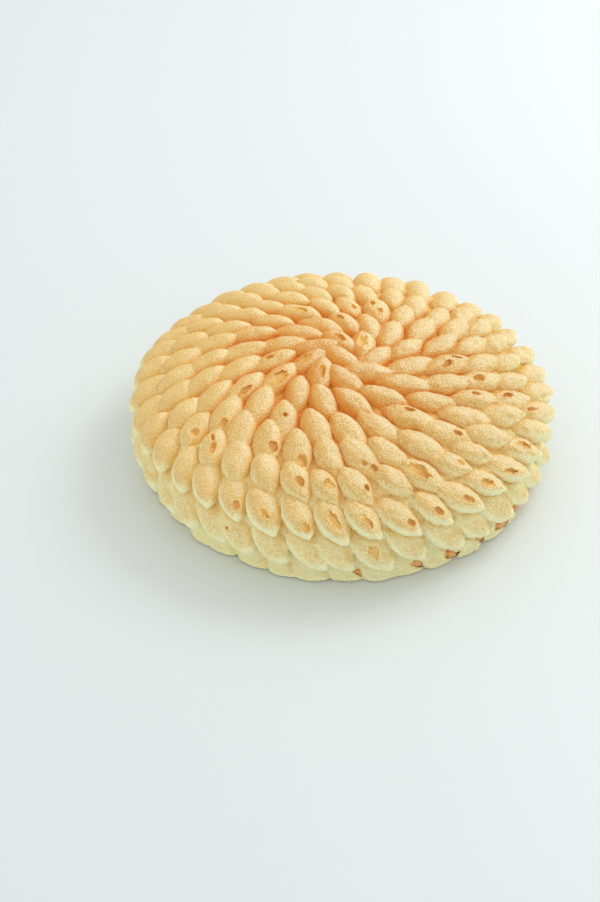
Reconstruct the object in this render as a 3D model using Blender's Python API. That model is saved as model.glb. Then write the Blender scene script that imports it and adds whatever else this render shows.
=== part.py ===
"""A round cream cake piped all over with petals, standing on a thin baked base.

Metres, +Z up. The origin lies on the table under the middle of the cake.
"""

import math
import random

import bmesh
import bpy
from mathutils import Matrix, Vector

# The crest line is the outline that the petals' ridges touch, from the crown to the table
CAKE_RADIUS = 0.0892
WIDEST_LEVEL = 0.0146
CROWN_RISE = 0.0314
CROWN_PEAK = 0.0030
CROWN_FLATNESS = 1.8
SHOULDER_SHARPNESS = 4.5
FOOT_RADIUS = 0.0870
CREST_STEPS = 48

# Rings of petals, from the middle outwards
RING_HEAD_REACH = (0.0042, 0.0188, 0.0334, 0.0478, 0.0618, 0.0757, 0.0910, 0.1064)
LAST_RING_DROP = 0.0042
PETALS_IN_RING = (8, 15, 21, 29, 35, 39, 39, 41)
RING_TURN_DEG = (8.0, 17.5, 17.6, 17.8, 9.4, 9.8, 2.8, 9.7)
MIDDLE_PETAL_TURN_DEG = 315.0

# The petals of a ring lie closer together on one side of the cake
RING_CROWDING_DEG = (0.0, 3.5, 2.7, 1.8, 1.3, 0.0, 0.0, 0.6)

# How the petals of each ring lie: their tips rise further down, and more on one side
RING_PETAL_LENGTH = (0.0255, 0.0255, 0.0258, 0.0252, 0.0216, 0.0228, 0.0262, 0.0270)
RING_SLANT_DEG = (34.0, 32.0, 28.0, 28.0, 32.0, 35.0, 43.0, 44.0)
RING_TIP_LIFT_DEG = (-3.0, -4.0, -4.0, -5.0, 2.0, 12.0, 18.0, 20.0)
RING_LEAN_DEG = (2.0, 6.0, 9.0, 9.0, 9.0, 6.0, 3.0, 0.0)
LEAN_DIRECTION_DEG = 20.0
RING_ROLL_DEG = (0.0, 0.0, 0.0, -2.0, -8.0, -14.0, -15.0, -15.0)
RING_SKEW = (0.0, 0.0, 0.0, 0.05, 0.15, 0.30, 0.35, 0.35)
SIDE_WIDENING = 0.12

# One petal
PETAL_WIDTH = 0.0122
PETAL_RISE = 0.0052
PETAL_BELLY = 0.45
PETAL_KEEL = 0.0020
HEAD_WIDTH_CURVE = (1.8, 0.72)
TIP_WIDTH_CURVE = (2.4, 0.95)
HEAD_CREST_CURVE = (2.4, 0.5)
TIP_CREST_CURVE = (2.4, 0.6)
SECTION_PLUMPNESS = 0.90
PETAL_SIDES = 8
PETAL_STATIONS = 7
HEADING_SPAN = 0.0060
SIDE_SINK = 0.0009

# How uneven the piping is: the most that a petal strays either way
ANGLE_STRAY_DEG = 1.1
REACH_STRAY = 0.0010
SLANT_STRAY_DEG = 5.0
SIZE_STRAY = 0.07
RISE_STRAY = 0.0005
PIPING_SEED = 11

# The baked base stands out a little at the front right, where the lowest petals lie on it
BASE_RADIUS = 0.0818
BASE_HEIGHT = 0.0050
BASE_OFFSET = (0.0036, -0.0024)
BASE_SEGMENTS = 60
BASE_SIDE = ((0.0, 0.985), (0.35, 1.0), (0.8, 0.995), (1.0, 0.975))
BASE_TWIST = 1.7
BASE_ROUGHNESS = 0.0006
BASE_LIFT = 0.0034
BASE_LIFT_NARROWNESS = 8
BASE_WAVES = (4, 7, 11, 17, 24)
BASE_SEED = 5

# The core under the petals follows the crest line between these shares of its length
CORE_DEPTH = 0.0040
CORE_START = 0.12
CORE_END = 0.98
CORE_SEGMENTS = 36
CORE_STEPS = 9

PIECE_GAP = 0.0003
TABLE_GAP = 0.0008
AXIS_MERGE = 0.00001
CREAM_TRIANGLES = 10800
SHARP_ANGLE_DEG = 50.0

CREAM_COLOUR = (0.86, 0.66, 0.36, 1.0)
CRUST_COLOUR = (0.52, 0.26, 0.09, 1.0)


def clear_scene():
    for thing in list(bpy.data.objects):
        bpy.data.objects.remove(thing, do_unlink=True)


def make_material(name, colour, roughness):
    material = bpy.data.materials.new(name)
    material.use_nodes = True
    shader = material.node_tree.nodes["Principled BSDF"]
    shader.inputs["Base Color"].default_value = colour
    shader.inputs["Roughness"].default_value = roughness
    shader.inputs["Metallic"].default_value = 0.0
    return material


def add_object(name, mesh_builder, collection):
    mesh = bpy.data.meshes.new(name)
    mesh_builder.to_mesh(mesh)
    mesh_builder.free()
    thing = bpy.data.objects.new(name, mesh)
    collection.objects.link(thing)
    return thing


def crest_height(radius):
    """Height of the crest line above the table over the crown and the shoulder."""
    share = min(radius / CAKE_RADIUS, 1.0)
    dome = (1.0 - share ** CROWN_FLATNESS) ** (1.0 / SHOULDER_SHARPNESS)
    return WIDEST_LEVEL + CROWN_RISE * dome + CROWN_PEAK * (1.0 - share)


def crest_line():
    """Points (radius, height) of the crest line, from the crown's middle to the table."""
    line = []
    for step in range(CREST_STEPS + 1):
        radius = CAKE_RADIUS * math.sin(0.5 * math.pi * step / CREST_STEPS)
        line.append(Vector((radius, crest_height(radius))))
    line.append(Vector((FOOT_RADIUS, 0.0)))
    return line


def walk(line, distance):
    """The point that lies this far along the line, and the line's direction there."""
    left = distance
    for start, end in zip(line, line[1:]):
        stretch = (end - start).length
        if left <= stretch or end is line[-1]:
            heading = (end - start).normalized()
            return start + heading * left, heading
        left -= stretch


def smooth_walk(line, distance):
    """As walk, with the direction read over a short span so that it turns gently."""
    point, _ = walk(line, distance)
    before, _ = walk(line, distance - HEADING_SPAN)
    after, _ = walk(line, distance + HEADING_SPAN)
    return point, (after - before).normalized()


def inner_line(line, depth):
    """The crest line moved inwards by a depth, closed on the axis and on the table."""
    total = sum((end - start).length for start, end in zip(line, line[1:]))
    inner = []
    for step in range(CORE_STEPS + 1):
        share = CORE_START + (CORE_END - CORE_START) * step / CORE_STEPS
        point, heading = smooth_walk(line, total * share)
        inner.append(point - depth * Vector((-heading.y, heading.x)))
    top = Vector((0.0, crest_height(0.0) - depth))
    foot = Vector((inner[-1].x, 0.0))
    return [top] + inner + [foot]


def make_core(line, collection):
    """The solid body under the petals, as high as the valleys between them."""
    outline = inner_line(line, CORE_DEPTH)
    builder = bmesh.new()
    points = [builder.verts.new((point.x, 0.0, point.y)) for point in outline]
    points.append(builder.verts.new((0.0, 0.0, 0.0)))
    edges = [builder.edges.new(pair) for pair in zip(points, points[1:])]
    bmesh.ops.spin(
        builder,
        geom=points + edges,
        cent=(0.0, 0.0, 0.0),
        axis=(0.0, 0.0, 1.0),
        angle=2.0 * math.pi,
        steps=CORE_SEGMENTS,
        use_merge=True,
    )
    bmesh.ops.remove_doubles(builder, verts=builder.verts, dist=AXIS_MERGE)
    bmesh.ops.recalc_face_normals(builder, faces=builder.faces)
    return add_object("piped_cream", builder, collection)


def swell(along, head, tip):
    """Share of the fullest size from the head (0) over the belly (1) to the tip (0).

    head and tip are each a power and a root: a high power keeps the belly long, and a
    low root makes the end blunt.
    """
    if along < PETAL_BELLY:
        distance, (power, root) = 1.0 - along / PETAL_BELLY, head
    else:
        distance, (power, root) = (along - PETAL_BELLY) / (1.0 - PETAL_BELLY), tip
    return (1.0 - distance ** power) ** root


def plump(share):
    """Fills a round section out towards its corners."""
    return math.copysign(abs(share) ** SECTION_PLUMPNESS, share)


def make_petal(name, length, width, rise, collection):
    """One almond with its head at -X, its tip at +X and its ridge up."""
    builder = bmesh.new()
    bmesh.ops.create_uvsphere(
        builder, u_segments=PETAL_SIDES, v_segments=PETAL_STATIONS, radius=1.0
    )
    half_side = Matrix.Rotation(math.pi / PETAL_SIDES, 3, "Z")
    lengthwise = Matrix.Rotation(0.5 * math.pi, 3, "Y")
    bmesh.ops.rotate(builder, verts=builder.verts, matrix=lengthwise @ half_side)
    for vertex in builder.verts:
        along = min(max(0.5 + 0.5 * vertex.co.x, 0.0), 1.0)
        section = Vector((vertex.co.y, vertex.co.z))
        sideways, upwards = (plump(share) for share in section.normalized())
        half_width = 0.5 * width * swell(along, HEAD_WIDTH_CURVE, TIP_WIDTH_CURVE)
        depth = rise * swell(along, HEAD_CREST_CURVE, TIP_CREST_CURVE)
        if upwards < 0.0:
            depth = PETAL_KEEL
        vertex.co = (length * (along - 0.5), half_width * sideways, depth * upwards)
    return add_object(name, builder, collection)


def petal_frame(point, heading, turn, ring, slant, lift):
    """Places a petal at a point of the crest line, turned round the axis by an angle."""
    roll = math.radians(RING_ROLL_DEG[ring])
    outwards = Vector((math.cos(turn), math.sin(turn), 0.0))
    around = Vector((-math.sin(turn), math.cos(turn), 0.0))
    down = heading.x * outwards + heading.y * Vector((0.0, 0.0, 1.0))
    normal = down.cross(around)
    axis = math.cos(slant) * down + math.sin(slant) * around
    side = normal.cross(axis)
    basis = Matrix((axis, side, normal)).transposed()
    basis = basis @ Matrix.Rotation(-lift, 3, "Y") @ Matrix.Rotation(roll, 3, "X")
    place = point.x * outwards + Vector((0.0, 0.0, point.y))
    return place, basis


def base_lift(turn):
    """How much higher the lowest petals lie on the side where the base stands out."""
    side = math.atan2(BASE_OFFSET[1], BASE_OFFSET[0])
    return BASE_LIFT * max(0.0, math.cos(turn - side)) ** BASE_LIFT_NARROWNESS


def pipe_petals(line, collection):
    """Rings of slanted petals, each a little out of place, and one in the middle."""
    stray = random.Random(PIPING_SEED)
    lean_side = math.radians(LEAN_DIRECTION_DEG)
    for ring, count in enumerate(PETALS_IN_RING):
        length = RING_PETAL_LENGTH[ring]
        half_run = 0.5 * length * math.cos(math.radians(RING_SLANT_DEG[ring]))
        is_last = ring + 1 == len(PETALS_IN_RING)
        for number in range(count):
            shift = [stray.uniform(-1.0, 1.0) for _ in range(5)]
            even = RING_TURN_DEG[ring] + 360.0 * number / count
            crowded = even + RING_CROWDING_DEG[ring] * math.cos(math.radians(even))
            turn = math.radians(crowded + ANGLE_STRAY_DEG * shift[1])
            drop = LAST_RING_DROP - base_lift(turn) if is_last else 0.0
            head_reach = RING_HEAD_REACH[ring] + REACH_STRAY * shift[0]
            point, heading = smooth_walk(line, head_reach + half_run + drop)
            slant = math.radians(RING_SLANT_DEG[ring] + SLANT_STRAY_DEG * shift[2])
            lean = RING_LEAN_DEG[ring] * max(0.0, math.cos(turn - lean_side))
            lift = math.radians(RING_TIP_LIFT_DEG[ring] + lean)
            size = 1.0 + SIZE_STRAY * shift[3]
            steepness = max(0.0, -heading.y)
            width = PETAL_WIDTH * size * (1.0 + SIDE_WIDENING * steepness)
            rise = PETAL_RISE + RISE_STRAY * shift[4]
            petal = make_petal(
                f"petal_{ring + 1}_{number + 1}",
                length * size, width, rise, collection,
            )
            place, basis = petal_frame(point, heading, turn, ring, slant, lift)
            sunk = place - (PETAL_RISE + SIDE_SINK * steepness) * basis.col[2]
            basis.col[2] -= RING_SKEW[ring] * basis.col[1]
            petal.data.transform(Matrix.Translation(sunk) @ basis.to_4x4())
    middle = make_petal(
        "petal_middle", RING_PETAL_LENGTH[0], PETAL_WIDTH, PETAL_RISE, collection,
    )
    top = Vector((0.0, 0.0, crest_height(0.0) - PETAL_RISE))
    turn = Matrix.Rotation(math.radians(MIDDLE_PETAL_TURN_DEG), 4, "Z")
    middle.matrix_world = Matrix.Translation(top) @ turn


def base_edge(turn, level):
    """How far the crumbly edge strays in or out at a turn round the axis and a level."""
    stray = random.Random(BASE_SEED)
    total = 0.0
    for waves in BASE_WAVES:
        phase = stray.uniform(0.0, 2.0 * math.pi)
        total += math.sin(waves * turn + phase + BASE_TWIST * level)
    return BASE_ROUGHNESS * total / math.sqrt(len(BASE_WAVES))


def make_base(name, gap, collection):
    """The baked disc, or the room that it stands in when given a gap round it."""
    builder = bmesh.new()
    points = [
        builder.verts.new((BASE_RADIUS * width + gap, 0.0, (BASE_HEIGHT + gap) * level))
        for level, width in BASE_SIDE
    ]
    edges = [builder.edges.new(pair) for pair in zip(points, points[1:])]
    bmesh.ops.spin(
        builder,
        geom=points + edges,
        cent=(0.0, 0.0, 0.0),
        axis=(0.0, 0.0, 1.0),
        angle=2.0 * math.pi,
        steps=BASE_SEGMENTS,
        use_merge=True,
    )
    for vertex in builder.verts:
        turn = math.atan2(vertex.co.y, vertex.co.x)
        shift = base_edge(turn, round(vertex.co.z / (BASE_HEIGHT + gap), 2))
        vertex.co.x += shift * math.cos(turn)
        vertex.co.y += shift * math.sin(turn)
    bmesh.ops.holes_fill(builder, edges=[edge for edge in builder.edges if edge.is_boundary])
    bmesh.ops.triangulate(builder, faces=builder.faces, quad_method="FIXED")
    bmesh.ops.recalc_face_normals(builder, faces=builder.faces)
    bmesh.ops.translate(builder, verts=builder.verts, vec=(*BASE_OFFSET, 0.0))
    return add_object(name, builder, collection)


def make_table_cutter(collection):
    """Takes off all that would hang lower than the gap over the table."""
    builder = bmesh.new()
    bmesh.ops.create_cube(builder, size=1.0)
    depth = WIDEST_LEVEL + CROWN_RISE
    width = 4.0 * CAKE_RADIUS
    bmesh.ops.scale(builder, verts=builder.verts, vec=(width, width, depth))
    bmesh.ops.translate(builder, verts=builder.verts, vec=(0.0, 0.0, TABLE_GAP - 0.5 * depth))
    return add_object("table_cutter", builder, collection)


def apply_modifiers(body):
    graph = bpy.context.evaluated_depsgraph_get()
    mesh = bpy.data.meshes.new_from_object(body.evaluated_get(graph))
    body.modifiers.clear()
    body.data = mesh


def combine(body, operation, collection):
    """Joins a collection's shapes to a body, or cuts them out of it, and drops them."""
    modifier = body.modifiers.new(operation.lower(), "BOOLEAN")
    modifier.operation = operation
    modifier.operand_type = "COLLECTION"
    modifier.collection = collection
    modifier.solver = "EXACT"
    apply_modifiers(body)
    for thing in list(collection.objects):
        bpy.data.objects.remove(thing, do_unlink=True)
    bpy.data.collections.remove(collection)


def new_collection(name):
    collection = bpy.data.collections.new(name)
    bpy.context.scene.collection.children.link(collection)
    return collection


def keep_main_shell(body):
    """Fills sealed hollows and drops loose scraps, by keeping the largest shell alone."""
    builder = bmesh.new()
    builder.from_mesh(body.data)
    unseen = set(builder.verts)
    shells = []
    while unseen:
        shell = [unseen.pop()]
        for vertex in shell:
            for edge in vertex.link_edges:
                other = edge.other_vert(vertex)
                if other in unseen:
                    unseen.remove(other)
                    shell.append(other)
        shells.append(shell)
    shells.sort(key=len)
    for shell in shells[:-1]:
        bmesh.ops.delete(builder, geom=shell, context="VERTS")
    bmesh.ops.triangulate(builder, faces=builder.faces)
    builder.to_mesh(body.data)
    builder.free()
    body.data.update()


def thin_out(body, triangles):
    """Brings a triangulated body down to this many triangles, flattest places first."""
    modifier = body.modifiers.new("thinner", "DECIMATE")
    modifier.decimate_type = "COLLAPSE"
    modifier.use_collapse_triangulate = True
    modifier.ratio = min(1.0, triangles / len(body.data.polygons))
    apply_modifiers(body)


def finish(body, material):
    body.data.materials.clear()
    body.data.materials.append(material)
    body.data.shade_smooth()
    body.data.set_sharp_from_angle(angle=math.radians(SHARP_ANGLE_DEG))


def main():
    clear_scene()
    scene_collection = bpy.context.scene.collection
    line = crest_line()

    base = make_base("pastry_base", 0.0, scene_collection)
    cream = make_core(line, scene_collection)

    petals = new_collection("petals")
    pipe_petals(line, petals)
    combine(cream, "UNION", petals)
    keep_main_shell(cream)
    thin_out(cream, CREAM_TRIANGLES)

    cutters = new_collection("cutters")
    make_base("base_room", PIECE_GAP, cutters)
    make_table_cutter(cutters)
    combine(cream, "DIFFERENCE", cutters)
    keep_main_shell(cream)

    finish(base, make_material("baked_crust", CRUST_COLOUR, 0.85))
    finish(cream, make_material("sprayed_cream", CREAM_COLOUR, 0.8))


main()
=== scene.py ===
"""A round cream cake piped all over with petals and velvet-sprayed, on a thin baked base.

Metres, +Z up. The origin lies on the table under the middle of the cake.
"""

import logging
import math
import random
from dataclasses import dataclass
from enum import Enum
from typing import ClassVar

import bmesh
import bpy
from mathutils import Matrix, Vector, noise
from mathutils.bvhtree import BVHTree
from mathutils.kdtree import KDTree


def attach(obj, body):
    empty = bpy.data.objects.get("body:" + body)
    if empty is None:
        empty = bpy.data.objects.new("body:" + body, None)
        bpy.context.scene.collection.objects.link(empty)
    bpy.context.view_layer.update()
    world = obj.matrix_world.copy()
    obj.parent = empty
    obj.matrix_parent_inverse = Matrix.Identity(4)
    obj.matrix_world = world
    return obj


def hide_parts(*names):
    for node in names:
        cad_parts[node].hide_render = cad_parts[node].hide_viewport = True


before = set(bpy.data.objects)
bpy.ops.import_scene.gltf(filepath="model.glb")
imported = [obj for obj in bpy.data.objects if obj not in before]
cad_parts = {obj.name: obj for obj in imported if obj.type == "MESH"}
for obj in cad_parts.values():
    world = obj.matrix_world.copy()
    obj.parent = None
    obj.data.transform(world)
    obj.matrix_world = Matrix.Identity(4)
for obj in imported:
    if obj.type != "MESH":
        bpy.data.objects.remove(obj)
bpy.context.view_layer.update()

BODY = "root"

GOLDEN_ANGLE = math.pi * (3.0 - math.sqrt(5.0))
MERGE_DISTANCE = 0.00001
MIDDLE_RING = -1
BASE_OFFSET = (0.0036, -0.0024)

Place = tuple[float, float, float]
PerRing = tuple[float, ...]
Curve = tuple[float, float]
Colour = tuple[int, int, int]
Ramp = tuple[float, float, float, float]
Socket = bpy.types.NodeSocket

log = logging.getLogger("cake")


def clamp(value: float, low: float = 0.0, high: float = 1.0) -> float:
    """Returns the value, or the limit that it lies past."""
    return min(max(value, low), high)


class Relief(Enum):
    """A kind of hollow in the cream, with the most by which its wall is drawn in.

    PIT is a round burst bubble, TEAR a long open tear and SCAR a shallow rough patch.
    """

    PIT = 0.30
    TEAR = 0.50
    SCAR = 0.60


@dataclass(frozen=True)
class CrestLine:
    """The outline that the petals' ridges touch, from the crown's middle to the table."""

    cake_radius: float = 0.0892
    widest_level: float = 0.0146
    crown_rise: float = 0.0314
    crown_peak: float = 0.0030
    crown_flatness: float = 1.8
    shoulder_sharpness: float = 4.5
    foot_radius: float = 0.0870
    steps: int = 48

    def height(self, radius: float) -> float:
        """Gives the height of the crest over the crown and the shoulder.

        Args:
            radius: Distance from the cake's axis.

        Returns:
            Height above the table.
        """
        share = min(radius / self.cake_radius, 1.0)
        dome = (1.0 - share ** self.crown_flatness) ** (1.0 / self.shoulder_sharpness)
        return self.widest_level + self.crown_rise * dome + self.crown_peak * (1.0 - share)

    def points(self) -> list[Vector]:
        """Returns the line's points as (radius, height)."""
        line = []
        for step in range(self.steps + 1):
            radius = self.cake_radius * math.sin(0.5 * math.pi * step / self.steps)
            line.append(Vector((radius, self.height(radius))))
        line.append(Vector((self.foot_radius, 0.0)))
        return line


class Walk:
    """Steps along a line of (radius, height) points."""

    def __init__(self, line: list[Vector], reading_span: float) -> None:
        """Keeps the line.

        Args:
            line: Points from the crown's middle to the table.
            reading_span: How far to either side the direction is read.
        """
        self.line = line
        self.reading_span = reading_span
        self.total = sum((end - start).length for start, end in zip(line, line[1:]))

    def straight(self, distance: float) -> Vector:
        """Returns the point that lies this far along the line."""
        left = distance
        for start, end in zip(self.line, self.line[1:]):
            stretch = (end - start).length
            if left <= stretch or end is self.line[-1]:
                return start + (end - start).normalized() * left
            left -= stretch
        return self.line[-1]

    def at(self, distance: float) -> tuple[Vector, Vector]:
        """Gives a point on the line and the line's gently turning direction there.

        Args:
            distance: Length along the line from the crown's middle.

        Returns:
            The point and the unit direction, both as (radius, height).
        """
        before = self.straight(distance - self.reading_span)
        after = self.straight(distance + self.reading_span)
        return self.straight(distance), (after - before).normalized()


@dataclass(frozen=True)
class PetalForm:
    """One almond of piped cream, with its head at -X, its tip at +X and its ridge up."""

    width: float = 0.0122
    rise: float = 0.0052
    belly: float = 0.45
    keel: float = 0.0020
    head_width: Curve = (1.8, 0.72)
    tip_width: Curve = (2.4, 0.95)
    head_crest: Curve = (2.4, 0.5)
    tip_crest: Curve = (2.4, 0.6)
    plumpness: float = 0.90
    sides: int = 28
    sides_on_top: float = 0.76
    stations: int = 26

    def swell(self, along: float, head: Curve, tip: Curve) -> float:
        """Gives the share of the fullest size at a place along the petal.

        Args:
            along: 0 at the head, 1 at the tip.
            head: Power and root of the curve before the belly.
            tip: Power and root of the curve after it.

        Returns:
            0 at either end and 1 at the belly.
        """
        if along < self.belly:
            distance, (power, root) = 1.0 - along / self.belly, head
        else:
            distance, (power, root) = (along - self.belly) / (1.0 - self.belly), tip
        return max(0.0, 1.0 - distance ** power) ** root

    def half_width(self, width: float, along: float) -> float:
        """Returns how far a petal of this width reaches sideways at a place along it."""
        return 0.5 * width * self.swell(along, self.head_width, self.tip_width)

    def depth(self, fullest: float, along: float) -> float:
        """Returns a petal's rise or keel at a place along it, from the fullest one."""
        return fullest * self.swell(along, self.head_crest, self.tip_crest)

    def around(self, turn: float) -> tuple[float, float]:
        """Gives a place on the petal's cross-section, with most sides spent on its top.

        Args:
            turn: Share of a full turn, from 0 to 1.

        Returns:
            Sideways and upwards shares of the half width and the depth.
        """
        if turn < self.sides_on_top:
            angle = math.pi * turn / self.sides_on_top
        else:
            angle = math.pi * (1.0 + (turn - self.sides_on_top) / (1.0 - self.sides_on_top))
        shares = (math.cos(angle), math.sin(angle))
        return tuple(math.copysign(abs(share) ** self.plumpness, share) for share in shares)

    def build(self, length: float, width: float, rise: float) -> bmesh.types.BMesh:
        """Makes one petal.

        Args:
            length: Its length from head to tip.
            width: Its width at the belly.
            rise: Height of its ridge over its middle line.

        Returns:
            A new closed bmesh.
        """
        builder = bmesh.new()
        bmesh.ops.create_uvsphere(
            builder, u_segments=self.sides, v_segments=self.stations, radius=1.0
        )
        lengthwise = Matrix.Rotation(0.5 * math.pi, 3, "Y")
        bmesh.ops.rotate(builder, verts=builder.verts, matrix=lengthwise)
        for vertex in builder.verts:
            along = clamp(0.5 + 0.5 * vertex.co.x)
            turn = math.atan2(vertex.co.z, vertex.co.y) / (2.0 * math.pi) % 1.0
            sideways, upwards = self.around(turn)
            half_width = self.half_width(width, along)
            depth = self.depth(rise if upwards >= 0.0 else self.keel, along)
            vertex.co = (length * (along - 0.5), half_width * sideways, depth * upwards)
        return builder


@dataclass(frozen=True)
class Petal:
    """Where one petal lies and how large it is."""

    ring: int
    number: int
    length: float
    width: float
    rise: float
    place: Matrix


@dataclass(frozen=True)
class Piping:
    """Rings of slanted petals, each a little out of place, and one in the middle."""

    crest: CrestLine = CrestLine()
    form: PetalForm = PetalForm()
    head_reaches: PerRing = (
        0.0042, 0.0188, 0.0334, 0.0478, 0.0618, 0.0757, 0.0910, 0.1064,
    )
    last_drop: float = 0.0042
    counts: tuple[int, ...] = (8, 15, 21, 29, 35, 39, 39, 41)
    turns_deg: PerRing = (8.0, 17.5, 17.6, 17.8, 9.4, 9.8, 2.8, 9.7)
    crowding_deg: PerRing = (0.0, 3.5, 2.7, 1.8, 1.3, 0.0, 0.0, 0.6)
    lengths: PerRing = (0.0255, 0.0255, 0.0258, 0.0252, 0.0216, 0.0228, 0.0262, 0.0270)
    slants_deg: PerRing = (34.0, 32.0, 28.0, 28.0, 32.0, 35.0, 43.0, 44.0)
    tip_lifts_deg: PerRing = (-3.0, -4.0, -4.0, -5.0, 2.0, 12.0, 18.0, 20.0)
    leans_deg: PerRing = (2.0, 6.0, 9.0, 9.0, 9.0, 6.0, 3.0, 0.0)
    lean_direction_deg: float = 20.0
    rolls_deg: PerRing = (0.0, 0.0, 0.0, -2.0, -8.0, -14.0, -15.0, -15.0)
    skews: PerRing = (0.0, 0.0, 0.0, 0.05, 0.15, 0.30, 0.35, 0.35)
    side_widening: float = 0.12
    middle_turn_deg: float = 315.0
    heading_span: float = 0.0060
    side_sink: float = 0.0009
    angle_stray_deg: float = 1.1
    reach_stray: float = 0.0010
    slant_stray_deg: float = 5.0
    size_stray: float = 0.07
    rise_stray: float = 0.0005
    seed: int = 11
    base_lift: float = 0.0034
    base_lift_narrowness: int = 8
    base_direction: float = math.atan2(BASE_OFFSET[1], BASE_OFFSET[0])

    def walk(self) -> Walk:
        """Returns a walk along the crest line."""
        return Walk(self.crest.points(), self.heading_span)

    def lifted_by_base(self, turn: float) -> float:
        """Returns how much higher the lowest petals lie where the base stands out."""
        nearness = max(0.0, math.cos(turn - self.base_direction))
        return self.base_lift * nearness ** self.base_lift_narrowness

    def petals(self) -> list[Petal]:
        """Returns every petal, ring by ring from the middle."""
        walk = self.walk()
        stray = random.Random(self.seed)
        laid = []
        for ring, count in enumerate(self.counts):
            for number in range(count):
                shift = [stray.uniform(-1.0, 1.0) for _ in range(5)]
                laid.append(self.lay(walk, ring, number, shift))
        top = Vector((0.0, 0.0, self.crest.height(0.0) - self.form.rise))
        turn = Matrix.Rotation(math.radians(self.middle_turn_deg), 4, "Z")
        place = Matrix.Translation(top) @ turn
        width, rise = self.form.width, self.form.rise
        laid.append(Petal(MIDDLE_RING, 0, self.lengths[0], width, rise, place))
        return laid

    def lay(self, walk: Walk, ring: int, number: int, shift: list[float]) -> Petal:
        """Lays one petal on the crest line.

        Args:
            walk: The walk along the crest line.
            ring: Its ring, from 0 in the middle.
            number: Its number in the ring.
            shift: How it strays, from -1 to 1: reach, angle, slant, size and rise.

        Returns:
            The petal.
        """
        even = self.turns_deg[ring] + 360.0 * number / self.counts[ring]
        crowded = even + self.crowding_deg[ring] * math.cos(math.radians(even))
        turn = math.radians(crowded + self.angle_stray_deg * shift[1])
        is_last = ring + 1 == len(self.counts)
        drop = self.last_drop - self.lifted_by_base(turn) if is_last else 0.0
        half_run = 0.5 * self.lengths[ring] * math.cos(math.radians(self.slants_deg[ring]))
        head_reach = self.head_reaches[ring] + self.reach_stray * shift[0]
        point, heading = walk.at(head_reach + half_run + drop)
        steepness = max(0.0, -heading.y)
        size = 1.0 + self.size_stray * shift[3]
        slant = math.radians(self.slants_deg[ring] + self.slant_stray_deg * shift[2])

        outwards = Vector((math.cos(turn), math.sin(turn), 0.0))
        around = Vector((-math.sin(turn), math.cos(turn), 0.0))
        down = heading.x * outwards + heading.y * Vector((0.0, 0.0, 1.0))
        normal = down.cross(around)
        axis = math.cos(slant) * down + math.sin(slant) * around
        basis = Matrix((axis, normal.cross(axis), normal)).transposed()
        nearness = max(0.0, math.cos(turn - math.radians(self.lean_direction_deg)))
        lift = math.radians(self.tip_lifts_deg[ring] + self.leans_deg[ring] * nearness)
        basis = basis @ Matrix.Rotation(-lift, 3, "Y")
        basis = basis @ Matrix.Rotation(math.radians(self.rolls_deg[ring]), 3, "X")
        skewed = basis.copy()
        skewed.col[2] -= self.skews[ring] * basis.col[1]
        depth = self.form.rise + self.side_sink * steepness
        spot = point.x * outwards + Vector((0.0, 0.0, point.y)) - depth * basis.col[2]
        place = Matrix.Translation(spot) @ skewed.to_4x4()
        width = self.form.width * size * (1.0 + self.side_widening * steepness)
        rise = self.form.rise + self.rise_stray * shift[4]
        return Petal(ring, number, self.lengths[ring] * size, width, rise, place)


def new_object(name: str, builder: bmesh.types.BMesh) -> bpy.types.Object:
    """Turns a bmesh into an object of the scene, and frees the bmesh.

    Args:
        name: The object's name.
        builder: Its mesh in the making.

    Returns:
        The object, at the origin.
    """
    mesh = bpy.data.meshes.new(name)
    builder.to_mesh(mesh)
    builder.free()
    thing = bpy.data.objects.new(name, mesh)
    bpy.context.scene.collection.objects.link(thing)
    return thing


def drop_objects(things: list[bpy.types.Object]) -> None:
    """Removes helper objects together with their meshes."""
    for thing in things:
        mesh = thing.data
        bpy.data.objects.remove(thing, do_unlink=True)
        bpy.data.meshes.remove(mesh)


def combine(body: bpy.types.Object, operation: str, tools: list[bpy.types.Object]) -> None:
    """Joins closed shapes to a body or cuts them out of it, and drops them.

    Args:
        body: The object that changes.
        operation: UNION or DIFFERENCE.
        tools: The closed shapes.
    """
    collection = bpy.data.collections.new("tools")
    bpy.context.scene.collection.children.link(collection)
    for tool in tools:
        bpy.context.scene.collection.objects.unlink(tool)
        collection.objects.link(tool)
    modifier = body.modifiers.new(operation.lower(), "BOOLEAN")
    modifier.operation = operation
    modifier.operand_type = "COLLECTION"
    modifier.collection = collection
    modifier.solver = "MANIFOLD"
    graph = bpy.context.evaluated_depsgraph_get()
    mesh = bpy.data.meshes.new_from_object(body.evaluated_get(graph))
    body.modifiers.clear()
    old, body.data = body.data, mesh
    bpy.data.meshes.remove(old)
    drop_objects(tools)
    bpy.data.collections.remove(collection)


def keep_main_shell(body: bpy.types.Object) -> None:
    """Fills sealed hollows and drops loose scraps, by keeping the largest shell alone."""
    builder = bmesh.new()
    builder.from_mesh(body.data)
    unseen = set(builder.verts)
    shells = []
    while unseen:
        shell = [unseen.pop()]
        for vertex in shell:
            for edge in vertex.link_edges:
                other = edge.other_vert(vertex)
                if other in unseen:
                    unseen.remove(other)
                    shell.append(other)
        shells.append(shell)
    shells.sort(key=len)
    for shell in shells[:-1]:
        bmesh.ops.delete(builder, geom=shell, context="VERTS")
    builder.to_mesh(body.data)
    builder.free()
    body.data.update()


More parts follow.
